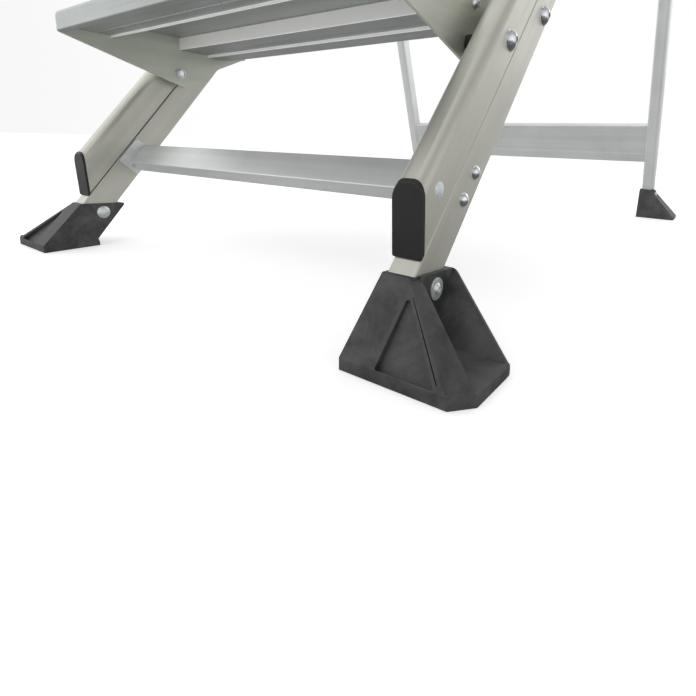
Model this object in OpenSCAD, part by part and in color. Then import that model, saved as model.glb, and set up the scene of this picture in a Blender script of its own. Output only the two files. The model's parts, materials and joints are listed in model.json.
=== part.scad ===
// Folding work platform: a leaning front frame with one deep step and a deck above it,
// parallel nose bars that fold the step and deck up together, and a hinged rear frame.
// X runs across the platform, +Y from the front to the rear frame, +Z up, floor at z = 0.
// Along a front leg, s is measured up the leg from the floor line of its rear face, and
// "off" is measured square to the leg, forward from that rear face.

/* [Front frame] */
// Width over the two front tubes
front_w = 570.5; // [520:0.5:620]
// Lean of the front frame from vertical, in degrees
lean = 41; // [40:0.5:42]
// Width of a front tube, across the frame
tube_w = 24.5; // [23:0.5:27]
// Depth of a front tube, front to back
tube_d = 35; // [34:0.5:37]
// Wall of every tube and bar
wall = 2; // [1.6:0.1:2.5]
// Length of a front tube along the leg, to its top end
tube_top_s = 1082; // [1075:1:1100]

/* [Nose bars] */
// Width of a nose bar
nose_w = 26; // [25:0.1:28]
// Depth of a nose bar
nose_d = 39; // [38:0.5:43]
// Gap between a nose bar and its tube when open or folded
nose_gap = 1; // [0.8:0.1:2]
// Place of the steep cut at the foot of a nose bar, from the leg's floor line
nose_cut_y = 17; // [15:0.5:22]
// Forward tilt of that cut from vertical, in degrees
nose_cut_tilt = 3; // [0:0.5:5]
// Top end of a nose bar along the leg
nose_top_s = 736; // [725:1:745]

/* [Step and deck] */
// Rise from the floor to the step, and from the step to the deck
rise = 304; // [300:1:308]
// Width of the step and the deck between their side gussets
tread_w = 481; // [430:1:481]
// Front lip to pivot
tread_front = 244; // [230:1:246]
// Pivot to rear edge of the step
step_rear = 38; // [36:1:42]
// Pivot to rear edge of the deck
deck_rear = 66; // [60:1:68]
// Pivot axis below the walking surface
pivot_drop = 16.6; // [15:0.2:18]
// Length of the link between the tube pivot and the nose pivot
link = 92; // [90:0.5:94]
// Distance of the tube pivot from the rear face of the tube
pivot_off = 11; // [10:0.5:12]
// Gusset plate thickness
gusset_t = 3; // [2.5:0.5:4]

/* [Rear frame] */
// Width over the rear legs
rear_w = 651; // [645:1:660]
// Lean of the rear frame from vertical, in degrees
rear_lean = 19; // [18:0.5:20]
// Width of a rear leg tube
rear_tube_w = 23.6; // [22:0.1:25]
// Depth of a rear leg tube
rear_tube_d = 32; // [30:0.5:34]
// Hinge axis along the front leg
hinge_s = 1053; // [1045:1:1060]
// Hinge axis behind the rear face of the front tube
hinge_back = 64; // [62:0.5:68]

/* [Hidden] */
$fn = 48;

// Colours
alu = [0.64, 0.64, 0.58];
bright_alu = [0.76, 0.78, 0.78];
zinc = [0.82, 0.84, 0.86];
rubber = [0.13, 0.13, 0.13];
plastic = [0.08, 0.08, 0.08];

// Places across the frame
tube_out = front_w / 2;
tube_in = tube_out - tube_w;
tube_mid = tube_out - tube_w / 2;
nose_off = tube_d + nose_gap;
gusset_in = tread_w / 2;
gusset_out = gusset_in + gusset_t;
rear_out = rear_w / 2;
rear_in = rear_out - rear_tube_w;
rear_mid = rear_out - rear_tube_w / 2;

// Pivots: the link's angle makes the nose bar come back to the same gap when folded
link_angle = (90 - lean) / 2;
pivot_z = rise - pivot_drop;
pivot_s = (pivot_z - pivot_off * sin(lean)) / cos(lean);
nose_pivot_s = pivot_s - link * cos(link_angle);
nose_pivot_off = pivot_off + link * sin(link_angle);
rise_s = rise / cos(lean);
bolt_r = 4;
run_gap = 0.05;
nut_r = 6.5;
nut_t = 5;

// Rear frame
hinge_y = leg_y(hinge_s, -hinge_back);
hinge_z = leg_z(hinge_s, -hinge_back);
rear_len = hinge_z / cos(rear_lean);
rear_floor_y = hinge_y + hinge_z * tan(rear_lean);
rear_top = 27;
rear_r = 6;
shaft_r = 10;
bush_r = 13;
bracket_t = 3;

// Feet
sole_t = 10;
foot_wall = 4;
foot_fit = 0.2;
front_rim_z = 61;
front_rim_drop = 3;
rear_rim_z = 64;
front_foot_front = -46;
front_foot_rear = 20.5;
foot_front_off = tube_d + 3;
foot_toe_off = tube_d + 6;
foot_rear_off = -9.3;
foot_web = 8;
foot_thin_web = 1.8;
front_foot_in = tube_in - 2;
front_foot_out = 357;
foot_chamfer = 14;
rear_foot_in = rear_in - foot_wall + 0.9;
rear_foot_out = 375;
rear_foot_front = rear_floor_y - 50;
rear_foot_rear = rear_floor_y + 24;
foot_bolt_s = 56;
foot_bolt_off = 7;
foot_bolt_r = 3;

// The frame's origin is under the middle of the whole platform
mid_y = (front_foot_front + rear_foot_rear) / 2;

function leg_y(s, off) = s * sin(lean) - off * cos(lean);
function leg_z(s, off) = s * cos(lean) + off * sin(lean);
// Y on a line parallel to the front leg, at height z
function leg_line_y(z, off) = (z * sin(lean) - off) / cos(lean);

// Outline with rounded corners: each point is [x, y, radius]
function unit(v) = v / norm(v);
function corner(a, b, c, r, n = 5) =
    let (u = unit([a[0] - b[0], a[1] - b[1]]), v = unit([c[0] - b[0], c[1] - b[1]]),
        half = acos(max(-1, min(1, u * v))) / 2, m = [b[0], b[1]] + unit(u + v) * r / sin(half),
        p = [b[0], b[1]] + u * r / tan(half) - m, q = [b[0], b[1]] + v * r / tan(half) - m,
        start = atan2(p[1], p[0]), turn = atan2(p[0] * q[1] - p[1] * q[0], p * q))
    [for (i = [0:n]) m + r * [cos(start + turn * i / n), sin(start + turn * i / n)]];
function rounded(pts) = [for (i = [0:len(pts) - 1])
    let (b = pts[i], a = pts[(i + len(pts) - 1) % len(pts)], c = pts[(i + 1) % len(pts)])
    each (b[2] > 0 ? corner(a, b, c, b[2]) : [[b[0], b[1]]])];

module placed() {
    translate([0, -mid_y, 0]) children();
}
// Local frame of the front legs: Z up the leg, -Y forward of the rear face
module on_leg(s = 0, off = 0) {
    translate([0, leg_y(s, off), leg_z(s, off)]) rotate([-lean, 0, 0]) children();
}
// Local frame of the rear legs: Z up the leg from the floor, Y = 0 on the leg's centre line
module on_rear(h = 0) {
    translate([0, rear_floor_y, 0]) rotate([rear_lean, 0, 0]) translate([0, 0, h]) children();
}
// Local frame of a tread: the origin is on its pivot axis
module at_pivot(level) {
    on_leg(pivot_s + level * rise_s, pivot_off) rotate([lean, 0, 0]) children();
}
// Extrude a Y-Z outline along X between two planes
module along_x(x0, x1) {
    translate([x0, 0, 0]) rotate([90, 0, 90]) linear_extrude(x1 - x0) children();
}
module bar_section(w, d, r_front, r_rear, t) {
    difference() {
        polygon(rounded([[-w / 2, -d, r_front], [w / 2, -d, r_front],
            [w / 2, 0, r_rear], [-w / 2, 0, r_rear]]));
        if (t > 0) {
            polygon(rounded([[-w / 2 + t, -d + t, max(0.5, r_front - t)],
                [w / 2 - t, -d + t, max(0.5, r_front - t)],
                [w / 2 - t, -t, max(0.5, r_rear - t)],
                [-w / 2 + t, -t, max(0.5, r_rear - t)]]));
        }
    }
}
// Round bar along X between two planes
module rod(x0, x1, r) {
    translate([x0, 0, 0]) rotate([0, 90, 0]) cylinder(h = x1 - x0, r = r);
}
// Low dome along +X, base at the origin
module dome(r, h) {
    ball = (r * r + h * h) / (2 * h);
    rotate([0, 90, 0]) rotate_extrude() intersection() {
        translate([0, h - ball]) circle(ball, $fn = 96);
        square([r, h]);
    }
}
// Dome head with a hexagon socket, facing +X
module socket_head(r, h, hex) {
    difference() {
        dome(r, h);
        translate([h * 0.45, 0, 0]) rotate([0, 90, 0]) cylinder(h = h, r = hex, $fn = 6);
    }
}
// Draw once for each side: the right side is +X
module both() {
    children();
    mirror([1, 0, 0]) children();
}

// ---- Front frame ----
crossbar_s = [137, 171];
crossbar_d = 20;
end_plate_t = 2.5;
end_plate_s = 128.5;
rivet_s = [135.8, 164.6];
rivet_off = 14;
rivet_r = 2.4;
rivet_gap = 0.05;
bracket_rivet_s = [1005, 1036, 1067];
rail_s = 1064;
rail_r = 9;

module front_tube() {
    difference() {
        on_leg() translate([tube_mid, 0, 0])
            linear_extrude(tube_top_s) bar_section(tube_w, tube_d, 1.5, 1.5, wall);
        translate([tube_in - 1, -100, -100]) cube([tube_w + 2, 200, 100 + sole_t + foot_fit]);
        on_leg(foot_bolt_s, foot_bolt_off) rod(tube_in - 1, tube_out + 1, foot_bolt_r + rivet_gap);
        for (s = rivet_s) {
            on_leg(s, rivet_off) rod(tube_in - 1, tube_out + 1, rivet_r + rivet_gap);
        }
        for (level = [0, 1]) {
            at_pivot(level) rod(tube_in - 1, tube_out + 1, bolt_r + rivet_gap);
        }
        for (s = bracket_rivet_s) {
            on_leg(s, tube_d / 2) rod(tube_mid, tube_out + 1, rivet_r + rivet_gap);
        }
    }
}
module front_tube_left() {
    color(alu) placed() mirror([1, 0, 0]) front_tube();
}
module front_tube_right() {
    color(alu) placed() front_tube();
}
// Rectangular tube with a welded plate at each end, riveted to the front tubes
module front_crossbar() {
    mid_s = (crossbar_s[0] + crossbar_s[1]) / 2;
    tall = crossbar_s[1] - crossbar_s[0];
    half = tube_in - end_plate_t;
    color(bright_alu) placed() {
        on_leg(mid_s) rotate([90, 0, 90]) translate([0, 0, -half]) linear_extrude(2 * half) difference() {
            polygon(rounded([[-crossbar_d, -tall / 2, 1.5], [0, -tall / 2, 1.5],
                [0, tall / 2, 1.5], [-crossbar_d, tall / 2, 1.5]]));
            polygon([[wall - crossbar_d, wall - tall / 2], [-wall, wall - tall / 2],
                [-wall, tall / 2 - wall], [wall - crossbar_d, tall / 2 - wall]]);
        }
        both() difference() {
            on_leg(end_plate_s) along_x(half, tube_in) polygon(rounded([[1 - tube_d, 0, 5], [-1, 0, 3],
                [-1, crossbar_s[1] - end_plate_s, 2], [1 - tube_d, crossbar_s[1] - end_plate_s, 5]]));
            for (s = rivet_s) {
                on_leg(s, rivet_off) rod(half - 1, tube_in + 1, rivet_r + rivet_gap);
            }
        }
    }
}
module top_rail() {
    color(alu) placed() on_leg(rail_s, tube_d / 2) difference() {
        rod(-tube_in, tube_in, rail_r);
        rod(-tube_in - 1, tube_in + 1, rail_r - wall);
    }
}
module crossbar_rivets() {
    color(zinc) placed() both() for (s = rivet_s) {
        on_leg(s, rivet_off) {
            translate([tube_out, 0, 0]) dome(6.5, 4);
            rod(tube_in - end_plate_t, tube_out + 0.5, rivet_r);
        }
    }
}
module front_tube_plugs() {
    plug_w = tube_w - 2 * wall - 0.2;
    plug_d = tube_d - 2 * wall - 0.2;
    color(plastic) placed() both() on_leg(tube_top_s) translate([tube_mid, 0, 0]) {
        linear_extrude(4) bar_section(tube_w, tube_d, 2, 2, 0);
        translate([0, -wall - 0.1, -10]) linear_extrude(10.5) bar_section(plug_w, plug_d, 0.5, 0.5, 0);
    }
}

// ---- Front feet ----
// Web, socket and sole of a boot that spreads outwards, drawn for the right side
module front_foot() {
    side = rounded([[front_foot_front, 0, 1], [front_foot_front, sole_t - 0.5, 1],
        [leg_line_y(sole_t, foot_toe_off), sole_t, 0.5],
        [leg_line_y(front_rim_z, foot_front_off), front_rim_z, 2],
        [leg_line_y(front_rim_z - front_rim_drop, foot_rear_off), front_rim_z - front_rim_drop, 2],
        [leg_line_y(sole_t, foot_rear_off), sole_t, 0.5],
        [front_foot_rear + 2, 5, 1], [front_foot_rear + 2, 0, 1]]);
    wide = [[front_foot_in, 0], [front_foot_in, 100], [tube_out + foot_wall, 100],
        [tube_out + foot_wall, front_rim_z - front_rim_drop], [front_foot_out - 1.5, sole_t],
        [front_foot_out, sole_t - 2], [front_foot_out, 0]];
    plan = rounded([[front_foot_in, front_foot_front - 1, 1.5],
        [front_foot_out - foot_chamfer, front_foot_front - 1, 2],
        [front_foot_out, front_foot_front + 16, 2], [front_foot_out, front_foot_rear - 5, 3],
        [front_foot_out - 3, 80, 1], [front_foot_in, 80, 1]]);
    web_rear = foot_front_off - foot_web;
    difference() {
        intersection() {
            along_x(front_foot_in - 1, front_foot_out + 1) polygon(side);
            across(wide);
            linear_extrude(100) polygon(plan);
        }
        // Open space between the front and rear webs
        above_sole() on_leg() translate([tube_out + foot_wall, -web_rear, -50])
            cube([100, web_rear - foot_rear_off - foot_thin_web, 200]);
        front_web_trim();
        front_web_relief();
        // Socket for the tube
        above_sole() on_leg() translate([tube_mid, foot_fit, 0]) linear_extrude(200)
            bar_section(tube_w + 2 * foot_fit, tube_d + 2 * foot_fit, 1.5, 1.5, 0);
        on_leg(foot_bolt_s, foot_bolt_off) rod(front_foot_in - 1, 400, foot_bolt_r + rivet_gap);
        foot_grooves(front_foot_front + 20, front_foot_rear - 2, front_foot_in + 4, front_foot_out - 4);
    }
}
// Extrude an X-Z outline front to back
module across(outline) {
    translate([0, 1500, 0]) rotate([90, 0, 0]) linear_extrude(1800) polygon(outline);
}
// The front web is narrower than the rear one and sweeps out onto the sole's chamfered corner
module front_web_trim() {
    foot_x = front_foot_out - foot_chamfer - 1;
    top_z = front_rim_z - 2;
    top_y = leg_line_y(top_z, foot_front_off);
    turn = atan2(16, foot_chamfer);
    run = (foot_x - tube_out) * sin(turn) + (top_y - front_foot_front) * cos(turn);
    intersection() {
        union() {
            across(concat([[tube_out, 200], [tube_out, top_z]],
                rounded([[foot_x, sole_t + 0.01, 36], [400, sole_t + 0.01, 0], [400, 200, 0],
                    [tube_out + 1, 200, 0]])));
            translate([foot_x, front_foot_front, sole_t + 0.01]) rotate([0, 0, turn])
                rotate([atan2(top_z - sole_t, run), 0, 0]) translate([-100, 0, 0]) cube([200, 200, 100]);
        }
        on_leg() union() {
            translate([tube_out - 1, -200, -100]) cube([200, 200 - tube_d - 0.7, 400]);
            translate([tube_out + 1, -200, -100]) cube([200, 200 - foot_front_off + foot_web, 400]);
        }
    }
}
// Sunk triangle in the front web, with a thin groove beside its outer edge
module front_web_relief() {
    left = tube_out + foot_wall;
    right = front_foot_out - foot_chamfer - 8;
    low = -22.5;
    high = 34.5;
    slope = (right - left) / (high - low);
    on_leg() rotate([90, 0, 0]) {
        translate([0, 0, foot_front_off - 2.2]) linear_extrude(20)
            polygon(rounded([[left, low, 1.5], [right, low, 1.5], [left, high, 1.8]]));
        translate([0, 0, foot_front_off - 0.4]) linear_extrude(20) translate([left + 2.8, 0])
            polygon([[slope, high - 1], [slope + 0.9, high - 1],
                [slope * (high - low - 4) + 0.9, low + 4], [slope * (high - low - 4), low + 4]]);
    }
}
module above_sole() {
    intersection() {
        children();
        translate([0, -500, sole_t]) cube([500, 2000, 500]);
    }
}
// Cross grooves in the underside of a sole
module foot_grooves(y0, y1, x0, x1) {
    for (y = [y0:8:y1]) {
        translate([x0, y, -1]) cube([x1 - x0, 3, 2.2]);
    }
}
module front_foot_left() {
    color(rubber) placed() mirror([1, 0, 0]) front_foot();
}
module front_foot_right() {
    color(rubber) placed() front_foot();
}
module front_foot_bolts() {
    head_x = tube_out + foot_wall;
    color(zinc) placed() both() on_leg(foot_bolt_s, foot_bolt_off) {
        rod(head_x, head_x + 1.6, 9);
        translate([head_x + 1.6, 0, 0]) socket_head(4.8, 2.6, 2.5);
        rod(front_foot_in - 0.5, head_x + 1, foot_bolt_r);
        translate([front_foot_in, 0, 0]) mirror([1, 0, 0]) dome(8.8, 2.2);
    }
}

// ---- Hinge at the top ----
// Bent plate riveted to a front tube, with an ear for the shaft and a stop lug for the rear leg
module hinge_bracket() {
    ear = shaft_r + 12;
    top_s = tube_top_s - hinge_s;
    difference() {
        union() {
            on_leg(hinge_s) along_x(tube_out, tube_out + bracket_t)
                polygon(rounded([[-tube_d + 3, -66, 6], [-tube_d + 3, top_s - 2, 6], [-3, top_s - 2, 6],
                    [hinge_back, ear, 6], [hinge_back + ear, ear - 2, 16],
                    [hinge_back + ear, -ear, 16], [hinge_back - 10, -ear, 8], [0, -66, 8]]));
            on_rear(rear_len) translate([tube_out, -rear_tube_d / 2 - 0.4 - bracket_t, 12])
                cube([rear_out - 3 - tube_out, bracket_t, 14]);
        }
        on_leg(hinge_s, -hinge_back) rod(tube_out - 1, tube_out + 10, shaft_r + run_gap);
        for (s = bracket_rivet_s) {
            on_leg(s, tube_d / 2) rod(tube_mid, tube_out + 10, rivet_r + rivet_gap);
        }
    }
}
module hinge_bracket_left() {
    color(zinc) placed() mirror([1, 0, 0]) hinge_bracket();
}
module hinge_bracket_right() {
    color(zinc) placed() hinge_bracket();
}
module bracket_rivets() {
    color(zinc) placed() both() for (s = bracket_rivet_s) {
        on_leg(s, tube_d / 2) {
            translate([tube_out + bracket_t, 0, 0]) dome(5.5, 3);
            rod(tube_out - wall, tube_out + bracket_t + 0.5, rivet_r);
            rod(tube_out - wall - 3, tube_out - wall, rivet_r + 1.6);
        }
    }
}
module hinge_shaft() {
    color(zinc) placed() on_leg(hinge_s, -hinge_back) difference() {
        rod(-rear_out - 0.6, rear_out + 0.6, shaft_r);
        rod(-rear_out - 2, rear_out + 2, shaft_r - 2.5);
    }
}
module hinge_spacers() {
    color(plastic) placed() both() on_leg(hinge_s, -hinge_back) difference() {
        rod(tube_out + bracket_t, rear_in - 0.3, bush_r);
        rod(tube_out, rear_in + 1, shaft_r + run_gap);
    }
}
module hinge_end_caps() {
    color(plastic) placed() both() on_leg(hinge_s, -hinge_back) {
        translate([rear_out + 0.6, 0, 0]) dome(14.5, 6);
        rod(rear_out - 12, rear_out + 1, shaft_r - 2.6);
    }
}

// ---- Pivots in the front tubes ----
module at_levels() {
    placed() both() for (level = [0, 1]) {
        at_pivot(level) children();
    }
}
module tube_pivot_bolts() {
    color(zinc) at_levels() {
        translate([tube_out, 0, 0]) socket_head(10, 6, 3);
        rod(gusset_in - 4, tube_out + 0.5, bolt_r);
    }
}
module tube_pivot_nuts() {
    color(zinc) at_levels() nut();
}
module tube_pivot_spacers() {
    color(plastic) at_levels() spacer(tube_in);
}
// Flanged nut on the inner side of a gusset
module nut() {
    x1 = gusset_in - 0.3;
    difference() {
        union() {
            rod(x1 - 1.4, x1, nut_r + 1);
            translate([x1 - nut_t, 0, 0]) rotate([0, 90, 0]) cylinder(h = nut_t - 1, r = nut_r, $fn = 6);
        }
        rod(x1 - nut_t - 1, x1 + 1, bolt_r);
    }
}
// Plastic sleeve that keeps a gusset clear of the bar beside it
module spacer(x1) {
    difference() {
        rod(gusset_out + 0.3, x1, 8.5);
        rod(gusset_out - 1, x1 + 1, bolt_r + rivet_gap);
    }
}

// ---- Nose bars ----
module nose_outer(grow) {
    on_leg() translate([tube_mid, -nose_off, 0]) linear_extrude(nose_top_s)
        bar_section(nose_w + 2 * grow, nose_d + grow, nose_r, nose_back_r, 0);
}
module nose_inner(shrink) {
    t = wall + shrink;
    on_leg() translate([tube_mid, -nose_off - t, 0]) linear_extrude(nose_top_s + 1)
        bar_section(nose_w - 2 * t, nose_d - 2 * t, nose_r - t, 0.5, 0);
}
module at_nose_pivot(level) {
    on_leg(nose_pivot_s + level * rise_s, nose_pivot_off) rotate([lean, 0, 0]) children();
}
nose_cut_z = (nose_cut_y * cos(lean) + nose_off) / sin(lean);
// Local frame of the steep cut: Y = 0 on its plane, origin at its lower edge
module at_nose_cut() {
    translate([0, nose_cut_y, nose_cut_z]) rotate([nose_cut_tilt, 0, 0]) children();
}
nose_r = 9.5;
nose_back_r = 1.5;
nose_rivet_s = [115.9, 600];
nose_rivet_off = 53.3;
module nose_bar() {
    difference() {
        nose_outer(0);
        nose_inner(0);
        at_nose_cut() translate([0, -500, -300]) cube([400, 500, 500]);
        for (level = [0, 1]) {
            at_nose_pivot(level) rod(tube_in - 5, tube_out + 5, bolt_r + rivet_gap);
        }
        for (s = nose_rivet_s) {
            on_leg(s, nose_rivet_off) rod(tube_mid, tube_out + 5, rivet_r + rivet_gap);
        }
    }
}
module nose_bar_left() {
    color(alu) placed() mirror([1, 0, 0]) nose_bar();
}
module nose_bar_right() {
    color(alu) placed() nose_bar();
}
// Caps over the steep cut at the lower ends, with a plug inside the bar
cap_t = 3;
cap_brim = 0.9;
module nose_bottom_caps() {
    color(plastic) placed() both() {
        intersection() {
            nose_outer(cap_brim);
            at_nose_cut() translate([0, -cap_t, -50]) cube([400, cap_t, 300]);
        }
        intersection() {
            nose_inner(0.2);
            at_nose_cut() translate([0, -0.5, -50]) cube([400, 8, 300]);
        }
    }
}
module nose_top_caps() {
    d = nose_d - 2 * wall - 0.4;
    color(plastic) placed() both() on_leg(nose_top_s) translate([tube_mid, -nose_off, 0]) {
        linear_extrude(cap_t) bar_section(nose_w, nose_d, nose_r, nose_back_r, 0);
        translate([0, -wall - 0.2, -8]) linear_extrude(8.5)
            bar_section(nose_w - 2 * wall - 0.4, d, nose_r - wall + 0.2, 0.7, 0);
    }
}
module nose_rivets() {
    x1 = tube_mid + nose_w / 2;
    color(zinc) placed() both() for (s = nose_rivet_s) {
        on_leg(s, nose_rivet_off) {
            translate([x1, 0, 0]) dome(6.8, 0.9);
            rod(x1 - wall, x1 + 0.3, rivet_r);
            rod(x1 - wall - 3, x1 - wall, rivet_r + 1.6);
        }
    }
}
module at_nose_levels() {
    placed() both() for (level = [0, 1]) {
        at_nose_pivot(level) children();
    }
}
module nose_pivot_bolts() {
    x1 = tube_mid + nose_w / 2;
    color(zinc) at_nose_levels() {
        translate([x1, 0, 0]) socket_head(10.3, 6, 3);
        rod(gusset_in - 4, x1 + 0.5, bolt_r);
    }
}
module nose_pivot_nuts() {
    color(zinc) at_nose_levels() nut();
}
module nose_pivot_spacers() {
    color(plastic) at_nose_levels() spacer(tube_mid - nose_w / 2);
}

// ---- Step and deck ----
top_z = pivot_drop;
lip_z = pivot_drop - 25;
lip_d = 14.5;
skin = 3;
rib = 2.5;
screw_y = [-72, -200];
screw_z = 0;
screw_r = 2.2;
// Depth of the underside below the top, front to rear: [rear end, depth]
lip_back = -236;
hook_y = [-181, -177];
box_y = [-83, -35];
hook_depth = 21.5;
box_depth = 21;
front_depth = 18.3;
function keel_rear(rear) = rear - 36;

// Round ports for the gusset screws, each on a web under the skin
module screw_ports() {
    for (y = screw_y) {
        translate([y, screw_z]) circle(4.6);
        translate([y - 1.2, lip_z]) square([2.4, 30]);
    }
}
module tread_section(rear) {
    last = keel_rear(rear);
    ceiling = top_z - skin;
    difference() {
        polygon(rounded([[-tread_front, lip_z, 3], [-tread_front, top_z, 6], [rear, top_z, 6],
            [rear, top_z - 14, 5], [last, top_z - 14, 2], [last, lip_z, 1.5],
            [box_y[1], lip_z, 1.5], [box_y[1], top_z - box_depth, 1], [box_y[0], top_z - box_depth, 1.5],
            [box_y[0], ceiling, 1.5], [hook_y[1], ceiling, 1.5], [hook_y[1], top_z - hook_depth, 1],
            [hook_y[0], top_z - hook_depth, 1], [hook_y[0], top_z - front_depth, 1],
            [lip_back, top_z - front_depth, 1], [lip_back, lip_z, 2]]));
        difference() {
            union() {
                cavity(3 - tread_front, hook_y[0] - rib, top_z - front_depth + rib);
                cavity(box_y[0] + rib, box_y[1] - 1, top_z - box_depth + rib);
                cavity(box_y[1] + rib, last - rib, lip_z + rib);
                cavity(last - rib - 1, rear - rib - 1, top_z - 14 + rib);
            }
            screw_ports();
        }
        for (y = screw_y) {
            translate([y, screw_z]) circle(screw_r + rivet_gap);
        }
        for (y = [-tread_front + 12:8:rear - 10]) {
            translate([y, top_z - 0.9]) square([3.4, 2]);
        }
    }
}
// Hollow of a closed cell from y0 to y1, from the height z0 up to the skin
module cavity(y0, y1, z0) {
    translate([y0, z0]) square([y1 - y0, top_z - skin - z0]);
}
module tread(rear) {
    difference() {
        along_x(-gusset_in, gusset_in) tread_section(rear);
        both() rod(gusset_in - 9, gusset_in + 1, nut_r + 3);
    }
}
module gusset(rear) {
    nose = [-link * cos(link_angle), link * sin(link_angle)];
    ny = nose[0] * sin(lean) - nose[1] * cos(lean);
    nz = nose[0] * cos(lean) + nose[1] * sin(lean);
    difference() {
        along_x(gusset_in, gusset_out)
            polygon(rounded([[-tread_front + 0.5, lip_z + 0.8, 3], [-tread_front + 0.5, top_z - 1, 6],
                [rear - 1, top_z - 1, 6], [rear - 1, -2, 4], [28, -4, 12], [-18, -24, 10],
                [-40, -44, 24], [ny + 6, nz - 20, 10], [-176, -28, 60]]));
        rod(gusset_in - 1, gusset_out + 1, bolt_r + run_gap);
        translate([0, ny, nz]) rod(gusset_in - 1, gusset_out + 1, bolt_r + run_gap);
        for (y = screw_y) {
            translate([0, y, screw_z]) rod(gusset_in - 1, gusset_out + 1, screw_r + rivet_gap);
        }
    }
}
module screws() {
    both() for (y = screw_y) {
        translate([gusset_out, y, screw_z]) {
            socket_head(6.6, 3.6, 2.3);
            rod(-gusset_t - 18, 0.5, screw_r);
        }
    }
}
module step_tread() {
    color(bright_alu) placed() at_pivot(0) tread(step_rear);
}
module deck_platform() {
    color(bright_alu) placed() at_pivot(1) tread(deck_rear);
}
module step_gusset_left() {
    color(alu) placed() mirror([1, 0, 0]) at_pivot(0) gusset(step_rear);
}
module step_gusset_right() {
    color(alu) placed() at_pivot(0) gusset(step_rear);
}
module deck_gusset_left() {
    color(alu) placed() mirror([1, 0, 0]) at_pivot(1) gusset(deck_rear);
}
module deck_gusset_right() {
    color(alu) placed() at_pivot(1) gusset(deck_rear);
}
module step_screws() {
    color(zinc) placed() at_pivot(0) screws();
}
module deck_screws() {
    color(zinc) placed() at_pivot(1) screws();
}

// ---- Rear frame ----
lower_bar_h = [138, 222];
upper_bar_h = [552, 602];
rear_bar_d = 22;
rear_screw_h = 56;
rear_screw_y = -4;

module rear_leg() {
    difference() {
        on_rear() translate([rear_mid, rear_tube_d / 2, 0])
            linear_extrude(rear_len + rear_top) bar_section(rear_tube_w, rear_tube_d, rear_r, rear_r, wall);
        translate([rear_in - 1, rear_floor_y - 100, -100]) cube([rear_tube_w + 2, 200, 100 + sole_t + foot_fit]);
        on_rear(rear_len) rod(rear_in - 1, rear_out + 1, bush_r + rivet_gap);
        on_rear(rear_screw_h) translate([0, rear_screw_y, 0]) rod(rear_mid, rear_out + 1, rivet_r + rivet_gap);
    }
}
module rear_leg_left() {
    color(bright_alu) placed() mirror([1, 0, 0]) rear_leg();
}
module rear_leg_right() {
    color(bright_alu) placed() rear_leg();
}
// Wide flat tube with a shallow crease near its lower edge
module rear_bar(h, d) {
    tall = h[1] - h[0];
    on_rear(h[0]) along_x(-rear_in, rear_in) difference() {
        polygon(rounded([[-d / 2, 0, 2], [-d / 2, tall, 2], [d / 2, tall, 2], [d / 2, 0, 2]]));
        polygon([[wall - d / 2, wall], [wall - d / 2, tall - wall], [d / 2 - wall, tall - wall],
            [d / 2 - wall, wall]]);
        translate([-d / 2 - 0.4, tall * 0.24]) square([0.9, 2]);
    }
}
module rear_lower_crossbar() {
    color(bright_alu) placed() rear_bar(lower_bar_h, rear_bar_d);
}
module rear_upper_crossbar() {
    color(bright_alu) placed() rear_bar(upper_bar_h, rear_bar_d);
}
module rear_foot() {
    rear_y = rear_floor_y + rear_tube_d / 2 / cos(rear_lean) + foot_wall / cos(rear_lean);
    side = rounded([[rear_foot_front, 0, 1.5],
        [rear_floor_y - 44, rear_rim_z - 4, 4], [rear_floor_y - 38, rear_rim_z + 2, 2],
        [rear_y - (rear_rim_z - 6) * tan(rear_lean), rear_rim_z - 6, 2],
        [rear_y - 6 * tan(rear_lean), 6, 1], [rear_foot_rear, 5, 1], [rear_foot_rear, 0, 1]]);
    front = [[rear_foot_in, 0], [rear_foot_in, 100], [rear_out + foot_wall, 100],
        [rear_out + foot_wall, rear_rim_z - 8], [rear_foot_out, 5], [rear_foot_out, 0]];
    plan = rounded([[rear_foot_in, rear_foot_front - 1, 2], [rear_foot_out, rear_foot_front - 1, 8],
        [rear_foot_out, rear_foot_rear + 1, 8], [rear_foot_in, rear_foot_rear + 1, 2]]);
    difference() {
        intersection() {
            along_x(rear_foot_in - 1, rear_foot_out + 1) polygon(side);
            translate([0, 1500, 0]) rotate([90, 0, 0]) linear_extrude(1500) polygon(front);
            linear_extrude(100) polygon(plan);
        }
        above_sole() on_rear() translate([rear_mid, rear_tube_d / 2 + foot_fit, 0])
            linear_extrude(200)
                bar_section(rear_tube_w + 2 * foot_fit, rear_tube_d + 2 * foot_fit, rear_r, rear_r, 0);
        on_rear(rear_screw_h) translate([0, rear_screw_y, 0]) {
            rod(rear_mid, 400, rivet_r + rivet_gap);
            rod(rear_out + foot_wall, 400, 7.6);
        }
        foot_grooves(rear_foot_front + 6, rear_foot_rear - 4, rear_foot_in + 4, rear_foot_out - 4);
    }
}
module rear_foot_left() {
    color(rubber) placed() mirror([1, 0, 0]) rear_foot();
}
module rear_foot_right() {
    color(rubber) placed() rear_foot();
}
module rear_foot_screws() {
    x1 = rear_out + foot_wall;
    color(zinc) placed() both() on_rear(rear_screw_h) translate([0, rear_screw_y, 0]) {
        translate([x1, 0, 0]) dome(7, 4);
        rod(rear_out - wall - 4, x1 + 0.5, rivet_r);
    }
}
module rear_hinge_bushes() {
    color(plastic) placed() both() on_rear(rear_len) difference() {
        rod(rear_in, rear_out, bush_r);
        rod(rear_in - 1, rear_out + 1, shaft_r + 0.06);
    }
}
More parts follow.
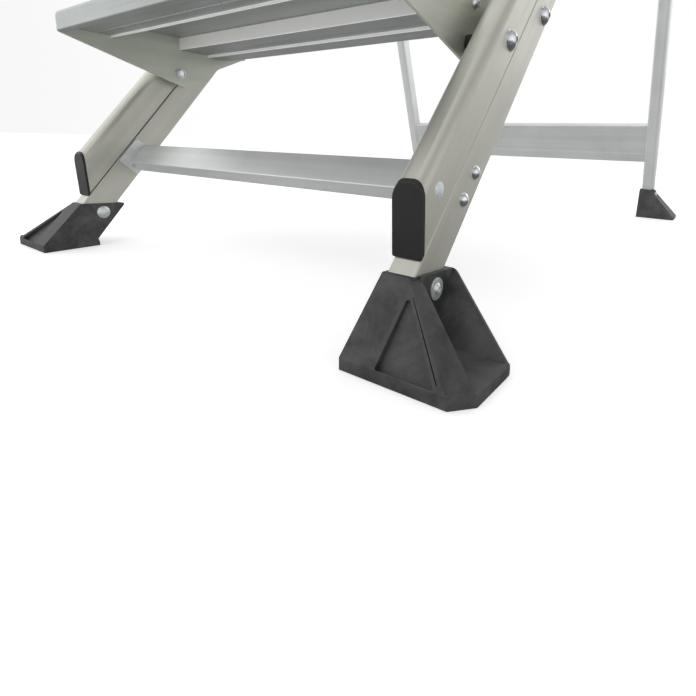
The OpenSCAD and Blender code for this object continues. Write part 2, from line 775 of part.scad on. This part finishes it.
module rear_leg_plugs() {
    plug_w = rear_tube_w - 2 * wall - 0.2;
    plug_d = rear_tube_d - 2 * wall - 0.2;
    color(plastic) placed() both() on_rear(rear_len + rear_top) translate([rear_mid, 0, 0]) {
        translate([0, rear_tube_d / 2, 0]) linear_extrude(3)
            bar_section(rear_tube_w, rear_tube_d, rear_r, rear_r, 0);
        translate([0, plug_d / 2, -8]) linear_extrude(8.5)
            bar_section(plug_w, plug_d, rear_r - wall, rear_r - wall, 0);
    }
}

front_tube_left();
front_tube_right();
front_crossbar();
top_rail();
front_foot_left();
front_foot_right();
front_foot_bolts();
crossbar_rivets();
hinge_bracket_left();
hinge_bracket_right();
bracket_rivets();
hinge_shaft();
hinge_spacers();
hinge_end_caps();
front_tube_plugs();
tube_pivot_bolts();
tube_pivot_nuts();
tube_pivot_spacers();
nose_bar_left();
nose_bar_right();
nose_bottom_caps();
nose_top_caps();
nose_rivets();
nose_pivot_bolts();
nose_pivot_nuts();
nose_pivot_spacers();
step_tread();
step_gusset_left();
step_gusset_right();
step_screws();
deck_platform();
deck_gusset_left();
deck_gusset_right();
deck_screws();
rear_leg_left();
rear_leg_right();
rear_lower_crossbar();
rear_upper_crossbar();
rear_foot_left();
rear_foot_right();
rear_foot_screws();
rear_hinge_bushes();
rear_leg_plugs();
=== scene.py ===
"""Looks for the folding work platform: satin aluminium frame, zinc fasteners and rubber boots.

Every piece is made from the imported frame, in metres, and rides on the body of the node it stands for.
"""
import json
import math

import bmesh
import bpy
from mathutils import Matrix, Vector


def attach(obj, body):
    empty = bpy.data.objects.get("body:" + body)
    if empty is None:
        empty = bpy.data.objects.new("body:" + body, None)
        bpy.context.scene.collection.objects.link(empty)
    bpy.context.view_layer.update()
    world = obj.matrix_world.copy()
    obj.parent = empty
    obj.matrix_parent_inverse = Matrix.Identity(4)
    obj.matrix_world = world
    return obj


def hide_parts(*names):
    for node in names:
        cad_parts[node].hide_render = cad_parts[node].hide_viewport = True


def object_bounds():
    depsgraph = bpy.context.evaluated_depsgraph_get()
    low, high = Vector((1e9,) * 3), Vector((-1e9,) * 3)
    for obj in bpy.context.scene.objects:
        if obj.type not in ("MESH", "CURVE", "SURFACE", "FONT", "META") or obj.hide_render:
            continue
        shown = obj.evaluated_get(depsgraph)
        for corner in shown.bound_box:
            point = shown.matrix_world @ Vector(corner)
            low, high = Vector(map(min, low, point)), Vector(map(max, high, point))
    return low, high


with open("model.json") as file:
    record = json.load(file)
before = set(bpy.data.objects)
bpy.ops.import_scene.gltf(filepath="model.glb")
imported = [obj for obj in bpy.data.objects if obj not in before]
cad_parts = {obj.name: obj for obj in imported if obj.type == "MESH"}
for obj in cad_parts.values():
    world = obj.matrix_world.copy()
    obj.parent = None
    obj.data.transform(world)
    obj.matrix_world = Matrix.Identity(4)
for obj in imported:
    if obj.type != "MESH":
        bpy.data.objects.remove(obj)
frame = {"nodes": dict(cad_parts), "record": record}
cad_low, cad_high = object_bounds()
MM = 0.001

# Lean of the front legs and of the rear legs from vertical, about X
FRONT_LEAN = math.radians(41)
REAR_LEAN = math.radians(-19)

BODY_OF = {n: b for b, nodes in frame["record"]["behaviour"]["bodies"].items() for n in nodes}


# ---------------------------------------------------------------- shader helpers
class Shader:
    """A Principled material built node by node."""

    def __init__(self, name):
        self.material = bpy.data.materials.new(name)
        self.material.use_nodes = True
        self.tree = self.material.node_tree
        self.bsdf = self.tree.nodes["Principled BSDF"]
        self.place = self.node("ShaderNodeTexCoord").outputs["Object"]

    def node(self, kind, **settings):
        made = self.tree.nodes.new(kind)
        for key, value in settings.items():
            setattr(made, key, value)
        return made

    def link(self, source, target):
        self.tree.links.new(source, target)

    def stretched(self, turn, scale):
        """Coordinates turned about X, then scaled, so that a noise can run along a tube."""
        turned = self.node("ShaderNodeMapping")
        turned.inputs["Rotation"].default_value = (turn, 0, 0)
        self.link(self.place, turned.inputs["Vector"])
        scaled = self.node("ShaderNodeMapping")
        scaled.inputs["Scale"].default_value = scale
        self.link(turned.outputs[0], scaled.inputs["Vector"])
        return scaled.outputs[0]

    def noise(self, scale, detail=3.0, rough=0.5, distortion=0.0, place=None):
        made = self.node("ShaderNodeTexNoise")
        made.inputs["Scale"].default_value = scale
        made.inputs["Detail"].default_value = detail
        made.inputs["Roughness"].default_value = rough
        made.inputs["Distortion"].default_value = distortion
        self.link(self.place if place is None else place, made.inputs["Vector"])
        return made.outputs["Fac"]

    def range(self, source, low, high, to_low, to_high):
        made = self.node("ShaderNodeMapRange")
        for key, value in zip(("From Min", "From Max", "To Min", "To Max"), (low, high, to_low, to_high)):
            made.inputs[key].default_value = value
        self.link(source, made.inputs["Value"])
        return made.outputs["Result"]

    def math(self, operation, a, b):
        made = self.node("ShaderNodeMath", operation=operation)
        for socket, value in zip(made.inputs, (a, b)):
            if isinstance(value, (int, float)):
                socket.default_value = value
            else:
                self.link(value, socket)
        return made.outputs[0]

    def mix(self, factor, a, b):
        made = self.node("ShaderNodeMix", data_type="RGBA")
        self.link(factor, made.inputs["Factor"])
        for socket, value in ((made.inputs[6], a), (made.inputs[7], b)):
            if isinstance(value, tuple):
                socket.default_value = (*value, 1)
            else:
                self.link(value, socket)
        return made.outputs[2]

    def edges(self):
        """How much a place lies on a rounded edge, from the mesh."""
        return self.node("ShaderNodeAttribute", attribute_name="edge_wear_and_highlight").outputs["Fac"]

    def bump(self, height, distance, strength=1.0, below=None):
        made = self.node("ShaderNodeBump")
        made.inputs["Strength"].default_value = strength
        made.inputs["Distance"].default_value = distance
        self.link(height, made.inputs["Height"])
        if below is not None:
            self.link(below, made.inputs["Normal"])
        return made.outputs["Normal"]

    def finish(self, colour, roughness, normal, **constants):
        self.link(colour, self.bsdf.inputs["Base Color"])
        self.link(roughness, self.bsdf.inputs["Roughness"])
        self.link(normal, self.bsdf.inputs["Normal"])
        for key, value in constants.items():
            self.bsdf.inputs[key.replace("_", " ")].default_value = value
        return self.material


# ---------------------------------------------------------------- materials
# Noise scales that draw a pattern out along an extrusion lying on Z or on X
DRAWN_OUT = {"z": (1, 1, 0.012), "x": (0.012, 1, 1)}

FRAME_TINT = (0.60, 0.60, 0.535)
PLATE_TINT = (0.60, 0.62, 0.545)
TREAD_TINT = (0.43, 0.455, 0.445)
REAR_TINT = (0.75, 0.765, 0.76)
ZINC_TINT = (0.80, 0.84, 0.84)
BRIGHT_TINT = (0.82, 0.85, 0.87)

# Painted highlight: walls under a tread that face forwards are painted pale and hardly mirror, standing
# in for the light that falls on them
RISER_HIGHLIGHT_TINT = (0.93, 0.93, 0.90)
RISER_HIGHLIGHT_METAL = 0.15

RUBBER_DARK = (0.028, 0.0285, 0.028)
RUBBER_DUSTY = (0.082, 0.083, 0.081)
# Rubbed rubber edges, lightened also as a painted highlight
RUBBER_WORN_AND_HIGHLIT = (0.24, 0.25, 0.255)
PLASTIC_DARK = (0.009, 0.009, 0.0095)
PLASTIC_PALE = (0.018, 0.018, 0.019)
PLASTIC_WORN = (0.05, 0.05, 0.05)


def scaled(colour, factor):
    return tuple(c * factor for c in colour)


def extruded_aluminium(name, colour, turn=0.0, along="z", rough=0.42, metal=0.72, with_riser_highlight=False):
    """Satin mill-finished aluminium with fine die lines along the extrusion, and a painted highlight
    (pale, less metallic) where marked.
    """
    sh = Shader(name)
    lined = sh.stretched(turn, DRAWN_OUT[along])
    die_lines = sh.noise(700, 4, 0.6, place=lined)
    broad_lines = sh.noise(90, 2, 0.5, place=lined)
    clouds = sh.noise(9, 4, 0.55, 0.4)
    scuffs = sh.range(sh.noise(160, 6, 0.7, 1.2), 0.62, 0.74, 0, 1)
    tone = sh.math("ADD", sh.math("MULTIPLY", clouds, 0.6), sh.math("MULTIPLY", broad_lines, 0.4))
    body = sh.mix(sh.range(tone, 0.35, 0.65, 0, 1), scaled(colour, 0.90), scaled(colour, 1.07))
    edge_lightening = sh.math("MULTIPLY", sh.edges(), sh.range(sh.noise(220, 4), 0.35, 0.6, 0.25, 0.8))
    tinted = sh.mix(edge_lightening, body, scaled(colour, 1.25))
    if with_riser_highlight:
        # Painted highlight: marked riser faces get a pale tint and less metal, standing in for the light
        # on them
        painted_riser_highlight = sh.node("ShaderNodeAttribute", attribute_name="painted_riser_highlight").outputs["Fac"]
        tinted = sh.mix(painted_riser_highlight, tinted, RISER_HIGHLIGHT_TINT)
        sh.link(sh.range(painted_riser_highlight, 0, 1, metal, RISER_HIGHLIGHT_METAL), sh.bsdf.inputs["Metallic"])
    satin = sh.range(die_lines, 0.3, 0.7, rough - 0.05, rough + 0.07)
    roughness = sh.math("ADD", satin, sh.math("MULTIPLY", scuffs, 0.06))
    normal = sh.bump(die_lines, 0.02 * MM, 0.6, sh.bump(broad_lines, 0.05 * MM, 0.5))
    return sh.finish(tinted, roughness, normal, Metallic=metal)


def plated_steel(name, colour, rough, spangle, metal):
    """Zinc or nickel plate: bright, with a faint patchy crystal pattern."""
    sh = Shader(name)
    patches = sh.noise(spangle, 3, 0.6, 0.8)
    grain = sh.noise(1400, 3)
    body = sh.mix(sh.range(patches, 0.35, 0.65, 0, 1), scaled(colour, 0.84), scaled(colour, 1.08))
    tinted = sh.mix(sh.math("MULTIPLY", sh.edges(), 0.5), body, scaled(colour, 1.15))
    roughness = sh.range(patches, 0.3, 0.7, rough - 0.04, rough + 0.08)
    return sh.finish(tinted, roughness, sh.bump(grain, 0.01 * MM, 0.4), Metallic=metal)


def moulded_rubber(name):
    """Hard black rubber with a dusty, mottled bloom and a fine moulded grain."""
    sh = Shader(name)
    bloom = sh.noise(26, 6, 0.62, 0.9)
    dust = sh.noise(110, 5, 0.7, 0.5)
    grain = sh.noise(1500, 2)
    pits = sh.noise(420, 4, 0.6)
    mottle = sh.math("ADD", sh.math("MULTIPLY", bloom, 0.75), sh.math("MULTIPLY", dust, 0.25))
    body = sh.mix(sh.range(mottle, 0.38, 0.64, 0, 1), RUBBER_DARK, RUBBER_DUSTY)
    # Wear and painted highlight: rounded edges are lightened, standing in both for rubbed edges and for
    # thin bright edge highlights
    edge_lightening = sh.math("MULTIPLY", sh.edges(), sh.range(dust, 0.4, 0.62, 0.1, 0.75))
    tinted = sh.mix(edge_lightening, body, RUBBER_WORN_AND_HIGHLIT)
    roughness = sh.range(mottle, 0.35, 0.65, 0.42, 0.60)
    normal = sh.bump(grain, 0.03 * MM, 0.5, sh.bump(pits, 0.12 * MM, 0.35))
    return sh.finish(tinted, roughness, normal, Metallic=0.0, Specular_IOR_Level=0.4)


def moulded_plastic(name):
    """Black polyamide of the plugs and caps, with a fine matt texture."""
    sh = Shader(name)
    clouds = sh.noise(60, 4, 0.6)
    grain = sh.noise(2200, 2)
    body = sh.mix(clouds, PLASTIC_DARK, PLASTIC_PALE)
    tinted = sh.mix(sh.math("MULTIPLY", sh.edges(), 0.35), body, PLASTIC_WORN)
    roughness = sh.range(clouds, 0.3, 0.7, 0.40, 0.50)
    normal = sh.bump(grain, 0.02 * MM, 0.5)
    return sh.finish(tinted, roughness, normal, Metallic=0.0, Specular_IOR_Level=0.4)


MATERIALS = {
    "frame_aluminium": extruded_aluminium("frame_aluminium", FRAME_TINT, FRONT_LEAN),
    "plate_aluminium": extruded_aluminium(
        "plate_aluminium", PLATE_TINT, math.radians(90), rough=0.44, metal=0.66
    ),
    "tread_aluminium": extruded_aluminium(
        "tread_aluminium", TREAD_TINT, along="x", metal=0.8, with_riser_highlight=True
    ),
    "crossbar_aluminium": extruded_aluminium("crossbar_aluminium", REAR_TINT, along="x", metal=0.60),
    "rear_aluminium": extruded_aluminium("rear_aluminium", REAR_TINT, REAR_LEAN, metal=0.55),
    "zinc_steel": plated_steel("zinc_steel", ZINC_TINT, 0.34, 240, 0.7),
    "bright_steel": plated_steel("bright_steel", BRIGHT_TINT, 0.10, 300, 1.0),
    "foot_rubber": moulded_rubber("foot_rubber"),
    "black_plastic": moulded_plastic("black_plastic"),
}


# ---------------------------------------------------------------- pieces
# Treads have walls below them that get a painted highlight
TREADS = ("step_tread", "deck_platform")

WELD_GAP = 0.004 * MM
FLAT_ANGLE = math.radians(0.4)
ROUNDED_ANGLE = math.radians(24)
CREASE_ANGLE = math.radians(50)
FLAT_FACE_WEIGHT = 60

# How far behind a tread's front and below its top a wall with a painted highlight starts
RISER_HIGHLIGHT_BEHIND = 30 * MM
RISER_HIGHLIGHT_BELOW = 4 * MM


def softened(node, radius):
    """A copy of a CAD node's shape with its sharp edges rounded, smooth-shaded and marked for edge wear
    and a painted edge highlight, and on treads marked for a painted riser highlight.
    """
    mesh = frame["nodes"][node].data.copy()
    mesh.name = node + "_detail"
    work = bmesh.new()
    work.from_mesh(mesh)
    bmesh.ops.remove_doubles(work, verts=work.verts, dist=WELD_GAP)
    bmesh.ops.dissolve_limit(work, angle_limit=FLAT_ANGLE, verts=work.verts, edges=work.edges)
    wear_and_highlight = work.faces.layers.float.new("edge_wear_and_highlight")
    edges = [e for e in work.edges if e.is_manifold and e.calc_face_angle() > ROUNDED_ANGLE]
    rounded = bmesh.ops.bevel(
        work, geom=edges, offset=radius, segments=2, profile=0.5, affect="EDGES", clamp_overlap=True
    )
    # Bevel faces are marked for edge wear and a painted edge highlight
    for face in rounded["faces"]:
        face[wear_and_highlight] = 1.0
    if node in TREADS:
        # Riser faces are marked for a painted highlight
        mark_riser_highlight(work)
    for face in work.faces:
        face.smooth = True
    work.to_mesh(mesh)
    work.free()
    if "custom_normal" in mesh.attributes:
        mesh.attributes.remove(mesh.attributes["custom_normal"])
    mesh.set_sharp_from_angle(angle=CREASE_ANGLE)
    return mesh


def mark_riser_highlight(work):
    """Marks the front-facing walls of the box and the hook under a tread for a painted highlight."""
    painted_riser_highlight = work.faces.layers.float.new("painted_riser_highlight")
    front = min(v.co.y for v in work.verts)
    top = max(v.co.z for v in work.verts)
    for face in work.faces:
        centre = face.calc_center_median()
        below_and_behind = centre.y > front + RISER_HIGHLIGHT_BEHIND and centre.z < top - RISER_HIGHLIGHT_BELOW
        if face.normal.y < -0.6 and below_and_behind:
            face[painted_riser_highlight] = 1.0


def slot_of(node):
    return frame["nodes"][node].data.materials[0].name.split(".")[0]


def stand_in(node, mesh, material):
    """Shows a mesh in place of a CAD node, on the same body."""
    piece = bpy.data.objects.new(node + "_detail", mesh)
    bpy.context.scene.collection.objects.link(piece)
    mesh.materials.clear()
    mesh.materials.append(MATERIALS[material])
    normals = piece.modifiers.new("flat faces stay flat", "WEIGHTED_NORMAL")
    normals.keep_sharp = True
    normals.weight = FLAT_FACE_WEIGHT
    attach(piece, BODY_OF[node])
    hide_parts(node)
    return piece


# Edge radius of each kind of piece
EDGE = {
    "frame_aluminium": 0.35 * MM,
    "plate_aluminium": 0.35 * MM,
    "tread_aluminium": 0.35 * MM,
    "rear_aluminium": 0.35 * MM,
    "zinc_steel": 0.25 * MM,
    "bright_steel": 0.20 * MM,
    "foot_rubber": 0.9 * MM,
    "black_plastic": 0.5 * MM,
}

for node in sorted(frame["nodes"]):
    slot = slot_of(node)
    material = "crossbar_aluminium" if "crossbar" in node and slot == "rear_aluminium" else slot
    stand_in(node, softened(node, EDGE[slot]), material)


# ---------------------------------------------------------------- floor, light and camera
FLOOR_HALF = 40.0
FLOOR_GLOW = 0.42


def pale_floor():
    """A plain pale floor, that glows a little and isn't mirrored in the metal."""
    sh = Shader("pale_floor")
    clouds = sh.noise(3, 3)
    colour = sh.mix(clouds, (0.90, 0.90, 0.90), (0.92, 0.92, 0.92))
    sh.finish(colour, sh.range(clouds, 0, 1, 0.7, 0.8), sh.bump(sh.noise(300), 0.05 * MM, 0.1))
    sh.bsdf.inputs["Emission Color"].default_value = (1, 1, 1, 1)
    sh.bsdf.inputs["Emission Strength"].default_value = FLOOR_GLOW
    corners = [(x * FLOOR_HALF, y * FLOOR_HALF, 0) for x, y in ((-1, -1), (1, -1), (1, 1), (-1, 1))]
    mesh = bpy.data.meshes.new("floor")
    mesh.from_pydata(corners, [], [(0, 1, 2, 3)])
    mesh.materials.append(sh.material)
    floor = bpy.data.objects.new("floor", mesh)
    floor.location.z = cad_low.z - 0.05 * MM
    floor.visible_glossy = False
    bpy.context.scene.collection.objects.link(floor)


def ramp_of(tree, source, stops):
    """A grey ramp from a value between -1 and 1."""
    spread = tree.nodes.new("ShaderNodeMapRange")
    spread.inputs["From Min"].default_value = -1
    ramp = tree.nodes.new("ShaderNodeValToRGB")
    tree.links.new(source, spread.inputs["Value"])
    tree.links.new(spread.outputs["Result"], ramp.inputs["Fac"])
    while len(ramp.color_ramp.elements) < len(stops):
        ramp.color_ramp.elements.new(0.5)
    for element, (at, grey) in zip(ramp.color_ramp.elements, stops):
        element.position = at
        element.color = (grey, grey, grey, 1)
    return ramp.outputs["Color"]


# The room's brightness by height, floor to zenith, and across it, left to right
BY_HEIGHT = [(0.0, 0.18), (0.36, 0.24), (0.49, 1.02), (0.66, 1.0), (0.86, 0.90), (1.0, 0.34)]
ACROSS = [(0.0, 0.9), (0.10, 1.0), (0.53, 1.0), (0.76, 0.46), (0.88, 0.56), (0.97, 1.0)]


def studio_world():
    """A white room as a soft light, dimmer overhead, below the horizon and to the right."""
    world = bpy.data.worlds.new("studio")
    world.use_nodes = True
    bpy.context.scene.world = world
    tree = world.node_tree
    direction = tree.nodes.new("ShaderNodeTexCoord")
    parts = tree.nodes.new("ShaderNodeSeparateXYZ")
    tree.links.new(direction.outputs["Generated"], parts.inputs[0])
    background = tree.nodes["Background"]
    tree.links.new(ramp_of(tree, parts.outputs["Z"], BY_HEIGHT), background.inputs["Color"])
    tree.links.new(ramp_of(tree, parts.outputs["X"], ACROSS), background.inputs["Strength"])


def softbox(name, place, aim, size, power):
    """A rectangular lamp at a place, turned towards its aim."""
    lamp = bpy.data.lights.new(name, "AREA")
    lamp.shape = "RECTANGLE"
    lamp.size, lamp.size_y = size
    lamp.energy = power
    made = bpy.data.objects.new(name, lamp)
    made.location = place
    made.rotation_euler = (Vector(aim) - Vector(place)).to_track_quat("-Z", "Y").to_euler()
    bpy.context.scene.collection.objects.link(made)


# Camera: where the eye is from the box's front right lower corner, and where it looks
EYE_OUT = 0.0860
EYE_FORWARD = 0.2270
EYE_UP = 0.1576
YAW = math.radians(35.04)
PITCH = math.radians(-11.96)
ROLL = math.radians(1.643)
LENS = 24.257
SHIFT = (-0.0644, -0.1543)


def camera():
    """The camera, at the photographed angle."""
    eye = Vector((cad_high.x + EYE_OUT, cad_low.y - EYE_FORWARD, cad_low.z + EYE_UP))
    forward = Vector((-math.sin(YAW) * math.cos(PITCH), math.cos(YAW) * math.cos(PITCH), math.sin(PITCH)))
    level = Vector((math.cos(YAW), math.sin(YAW), 0))
    upright = level.cross(forward)
    right = level * math.cos(ROLL) + upright * math.sin(ROLL)
    up = upright * math.cos(ROLL) - level * math.sin(ROLL)
    data = bpy.data.cameras.new("camera")
    data.lens = LENS
    data.shift_x, data.shift_y = SHIFT
    data.clip_start = 0.01
    made = bpy.data.objects.new("camera", data)
    made.matrix_world = Matrix((right, up, -forward)).transposed().to_4x4()
    made.location = eye
    bpy.context.scene.collection.objects.link(made)
    bpy.context.scene.camera = made


pale_floor()
studio_world()
softbox("overhead", (-0.1, -0.1, 2.9), (0, 0, 0), (3.0, 3.0), 14)
softbox("key", (0.1, -2.8, 1.9), (0.1, -0.2, 0.3), (1.8, 1.8), 6)
softbox("fill", (-2.2, -1.0, 1.3), (0, -0.2, 0.3), (1.6, 1.6), 4)
softbox("back", (0.6, 2.6, 1.2), (0, 0.2, 0.3), (2.2, 1.2), 8)
camera()

scene = bpy.context.scene
scene.view_settings.view_transform = "Standard"
